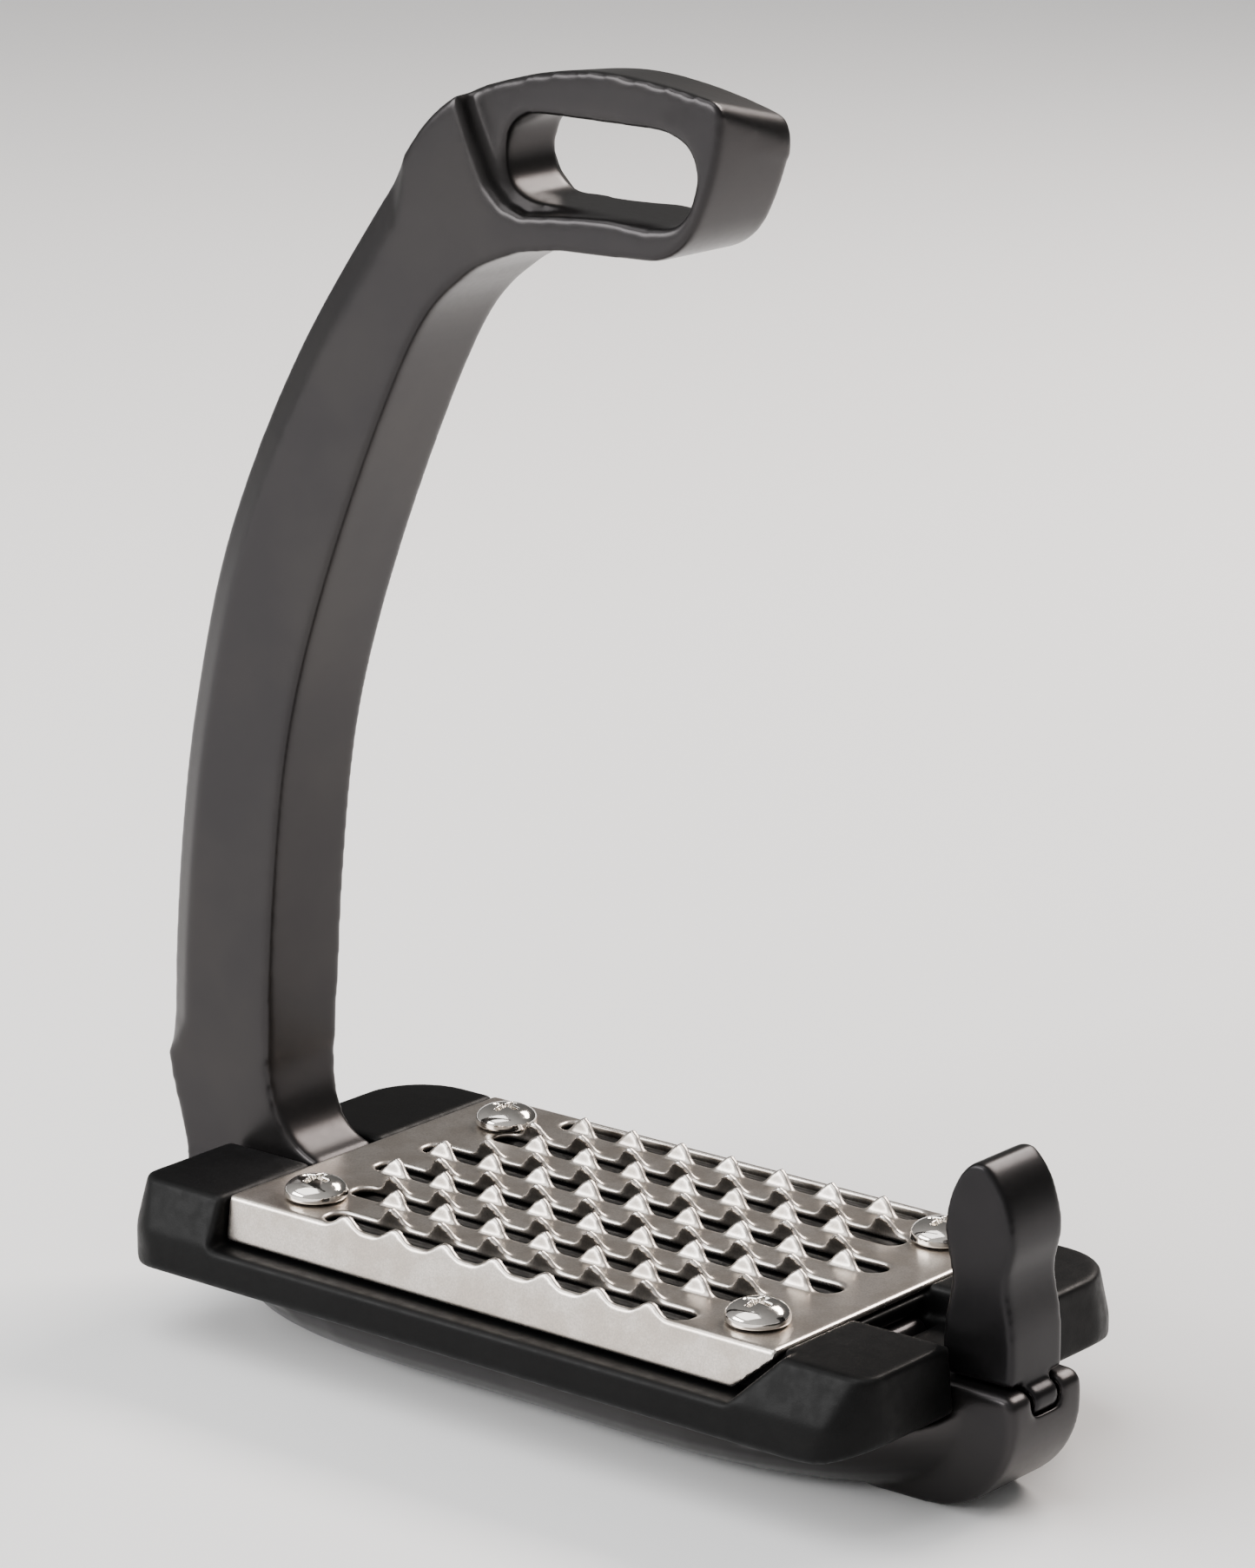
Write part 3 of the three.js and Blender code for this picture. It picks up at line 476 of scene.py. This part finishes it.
def build_screw(node):
    """A pan-head screw turned on its axis, with a cross recess in its head."""
    low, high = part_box(node)
    seat = Vector(((low.x + high.x) / 2, (low.y + high.y) / 2, high.z - HEAD_HEIGHT))
    bm = bmesh.new()
    verts = [bm.verts.new((radius, 0, z)) for radius, z in screw_profile(low.z - seat.z)]
    edges = [bm.edges.new(pair) for pair in zip(verts, verts[1:])]
    bmesh.ops.spin(
        bm, geom=verts + edges, cent=(0, 0, 0), axis=(0, 0, 1), angle=2 * math.pi,
        steps=TURN_STEPS, use_duplicate=False,
    )
    bmesh.ops.remove_doubles(bm, verts=bm.verts, dist=1e-6)
    bmesh.ops.recalc_face_normals(bm, faces=bm.faces)
    bmesh.ops.translate(bm, verts=bm.verts, vec=seat)
    piece = from_bmesh(bm, node.replace("tread_screw", "pan_head_screw"))
    cutter = cross_cutter(seat)
    cut = piece.modifiers.new("recess", "BOOLEAN")
    cut.operation = "DIFFERENCE"
    cut.object = cutter
    cut.use_self = True
    apply_modifiers(piece)
    bpy.data.objects.remove(cutter)
    soften(piece, voxel=0.1 * MM, rounds=6)
    finish_piece(piece, FASTENER_STEEL, "fastener_steel", "stirrup", node)


def build_spring():
    """The coil spring behind the plunger, with closer end coils."""
    low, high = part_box("return_spring")
    coil = (high.z - low.z) / 2 - SPRING_WIRE
    points = SPRING_TURNS * SPRING_STEPS
    curve = bpy.data.curves.new("spring_wire", "CURVE")
    curve.dimensions = "3D"
    curve.bevel_depth = SPRING_WIRE
    curve.bevel_resolution = 3
    curve.use_fill_caps = True
    wire = curve.splines.new("POLY")
    wire.points.add(points)
    first = low.x + SPRING_WIRE
    length = high.x - SPRING_WIRE - first
    for step in range(points + 1):
        angle = 2 * math.pi * step / SPRING_STEPS
        share = step / points
        eased = share - END_CLOSING * math.sin(2 * math.pi * share)
        wire.points[step].co = (
            first + length * eased,
            (low.y + high.y) / 2 + coil * math.cos(angle),
            (low.z + high.z) / 2 + coil * math.sin(angle),
            1,
        )
    maker = link(curve, "spring_maker")
    piece = link(evaluated_mesh(maker), "return_spring_coil")
    bpy.data.objects.remove(maker)
    piece.data.shade_smooth()
    finish_piece(piece, SPRING_STEEL, "spring_steel", "stirrup", "return_spring")
    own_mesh(piece)


def paint_cad_node(node, material):
    """A CAD node whose shape stays gets its finish."""
    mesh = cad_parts[node].data
    mesh.materials.clear()
    mesh.materials.append(material)


build_frame()
build_peg()
build_pad()
build_plate()
build_spring()
for node in sorted(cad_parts):
    if node.startswith("tread_screw"):
        build_screw(node)
    elif node.startswith("tread_insert") or node in ("hinge_pin", "return_plunger", "spring_screw"):
        paint_cad_node(node, FASTENER_STEEL)


# ---- floor, light and camera -------------------------------------------------------------------

FLOOR_HALF = 6
LIT_POINT = Vector((0, 0, 90 * MM))

# Strength of the studio's own light from behind and from the front.
DIM_BACK = 0.12
BRIGHT_FRONT = 0.72

# The photograph's viewing angle, from a perspective fit to it.
AZIMUTH = math.radians(39.29)
ELEVATION = math.radians(15.2)
DISTANCE = 0.8344
LENS_MM = 132.1
SENSOR_MM = 36
AIM = Vector((2 * MM, -0.7 * MM, 91.5 * MM))


def build_floor():
    bm = bmesh.new()
    bmesh.ops.create_grid(bm, x_segments=8, y_segments=8, size=FLOOR_HALF)
    floor = from_bmesh(bm, "floor")
    floor.data.materials.append(floor_paint())


def softbox(name, place, width, height, power, colour=(1, 1, 1)):
    """A rectangular area light that faces the object."""
    light = bpy.data.lights.new(name, "AREA")
    light.shape = "RECTANGLE"
    light.size = width
    light.size_y = height
    light.energy = power
    light.color = colour
    lamp = link(light, name)
    lamp.location = place
    lamp.rotation_euler = (LIT_POINT - Vector(place)).to_track_quat("-Z", "Y").to_euler()


def build_world():
    """A pale studio: brighter in front of the object than behind it."""
    world = bpy.data.worlds.new("studio")
    bpy.context.scene.world = world
    world.use_nodes = True
    tree = world.node_tree
    place = tree.nodes.new("ShaderNodeTexCoord")
    parts = tree.nodes.new("ShaderNodeSeparateXYZ")
    tree.links.new(place.outputs["Generated"], parts.inputs["Vector"])
    front = tree.nodes.new("ShaderNodeMapRange")
    front.inputs["From Min"].default_value = 0.9
    front.inputs["From Max"].default_value = -0.9
    front.inputs["To Min"].default_value = DIM_BACK
    front.inputs["To Max"].default_value = BRIGHT_FRONT
    tree.links.new(parts.outputs["Y"], front.inputs["Value"])
    background = tree.nodes["Background"]
    background.inputs["Color"].default_value = (1.0, 0.99, 0.98, 1)
    tree.links.new(front.outputs["Result"], background.inputs["Strength"])


def build_camera():
    camera = bpy.data.cameras.new("camera")
    camera.lens = LENS_MM
    camera.sensor_width = SENSOR_MM
    camera.clip_start = 0.01
    holder = link(camera, "camera")
    back = Vector((
        math.sin(AZIMUTH) * math.cos(ELEVATION),
        -math.cos(AZIMUTH) * math.cos(ELEVATION),
        math.sin(ELEVATION),
    ))
    holder.location = AIM + DISTANCE * back
    holder.rotation_euler = (math.pi / 2 - ELEVATION, 0, AZIMUTH)
    bpy.context.scene.camera = holder


build_floor()
build_world()
softbox("front", place=(-0.7, -1.0, 0.55), width=1.0, height=0.4, power=18)
softbox("back", place=(0.1, 0.98, 0.86), width=0.85, height=0.3, power=20, colour=(1, 0.91, 0.85))
softbox("top", place=(-0.35, -0.5, 1.45), width=1.4, height=1.4, power=20)
build_camera()
